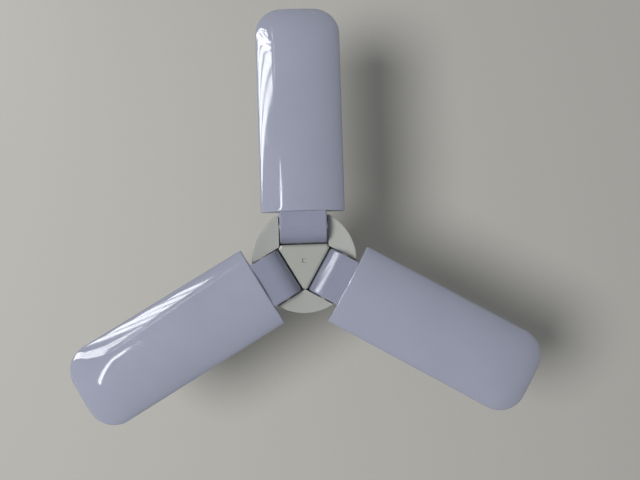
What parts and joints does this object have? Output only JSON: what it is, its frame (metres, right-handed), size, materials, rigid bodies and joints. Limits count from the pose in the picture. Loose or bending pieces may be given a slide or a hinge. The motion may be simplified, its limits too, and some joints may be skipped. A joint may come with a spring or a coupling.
{
  "type": "deformable garage light",
  "caption": "Screw-base LED ceiling lamp with long milky leaves on hinges round a dished hub; each leaf folds forward from flat to square.",
  "frame": {"origin": "centre of the cap's end contact, on the lamp's axis, where it meets the lampholder", "axes": "+Z runs along the lamp's axis from the cap to the front (down when it hangs in a ceiling lampholder, up as the picture shows it lying); +Y runs along leaf 1; +X makes the frame right-handed"},
  "size_m": [0.2334, 0.2059, 0.0992],
  "materials": {
    "cap_metal": "nickel-plated shell, satin",
    "contact_metal": "tinned contact, satin",
    "black_insulator": "black glassy insulator, gloss",
    "white_plastic": null,
    "plate_plastic": "warm white moulded plastic, satin",
    "circuit_board": "green solder mask",
    "capacitor_sleeve": "dark sleeve",
    "transformer_core": "ferrite core and yellow tape",
    "chip_black": "black moulded package",
    "film_orange": "dipped film capacitor",
    "resistor_body": "fusible resistor",
    "terminal_plastic": "white terminal block",
    "red_wire": "silicone insulation",
    "blue_wire": "silicone insulation",
    "white_wire": "silicone insulation",
    "screw_steel": "zinc-plated",
    "pin_steel": "bright steel",
    "milky_plastic": "milky plastic, smooth",
    "milky_diffuser": "opal polycarbonate, gloss",
    "tray_plastic": "white moulded plastic, satin",
    "board_aluminium": "white solder mask on aluminium",
    "led_phosphor": "yellow phosphor"
  },
  "bodies": {
    "lamp_body": {"screw_cap": "cap_metal", "cap_insulator": "black_insulator", "centre_contact": "contact_metal", "driver_housing": "white_plastic", "hub_body": "white_plastic", "front_plate": "plate_plastic", "driver_board": "circuit_board", "smoothing_capacitor": "capacitor_sleeve", "transformer": "transformer_core", "bridge_rectifier": "chip_black", "driver_chip": "chip_black", "film_capacitor": "film_orange", "fuse_resistor": "resistor_body", "output_terminals": "terminal_plastic", "live_lead": "red_wire", "neutral_lead": "blue_wire", "hub_screws": "screw_steel", "petal_cap_1": "white_plastic", "petal_cap_2": "white_plastic", "petal_cap_3": "white_plastic", "hub_lead_1": "white_wire", "hub_lead_2": "white_wire", "hub_lead_3": "white_wire"},
    "leaf_1": {"leaf_arm_1": "milky_plastic", "leaf_tray_1": "tray_plastic", "leaf_diffuser_1": "milky_diffuser", "led_board_1": "board_aluminium", "led_chips_1": "led_phosphor", "hinge_pins_1": "pin_steel", "friction_washers_1": "pin_steel", "arm_screws_1": "screw_steel", "board_screws_1": "screw_steel", "leaf_lead_1": "white_wire"},
    "leaf_2": {"leaf_arm_2": "milky_plastic", "leaf_tray_2": "tray_plastic", "leaf_diffuser_2": "milky_diffuser", "led_board_2": "board_aluminium", "led_chips_2": "led_phosphor", "hinge_pins_2": "pin_steel", "friction_washers_2": "pin_steel", "arm_screws_2": "screw_steel", "board_screws_2": "screw_steel", "leaf_lead_2": "white_wire"},
    "leaf_3": {"leaf_arm_3": "milky_plastic", "leaf_tray_3": "tray_plastic", "leaf_diffuser_3": "milky_diffuser", "led_board_3": "board_aluminium", "led_chips_3": "led_phosphor", "hinge_pins_3": "pin_steel", "friction_washers_3": "pin_steel", "arm_screws_3": "screw_steel", "board_screws_3": "screw_steel", "leaf_lead_3": "white_wire"}
  },
  "joints": [
    {"name": "leaf_1_fold", "type": "hinge", "parent": "lamp_body", "child": "leaf_1", "pos_m": [0, 0.0174, 0.0886], "axis": [1, 0, 0], "range_deg": [0, 90]},
    {"name": "leaf_2_fold", "type": "hinge", "parent": "lamp_body", "child": "leaf_2", "pos_m": [-0.01507, -0.0087, 0.0886], "axis": [-0.5, 0.866, 0], "range_deg": [0, 90]},
    {"name": "leaf_3_fold", "type": "hinge", "parent": "lamp_body", "child": "leaf_3", "pos_m": [0.01507, -0.0087, 0.0886], "axis": [-0.5, -0.866, 0], "range_deg": [0, 90]}
  ]
}
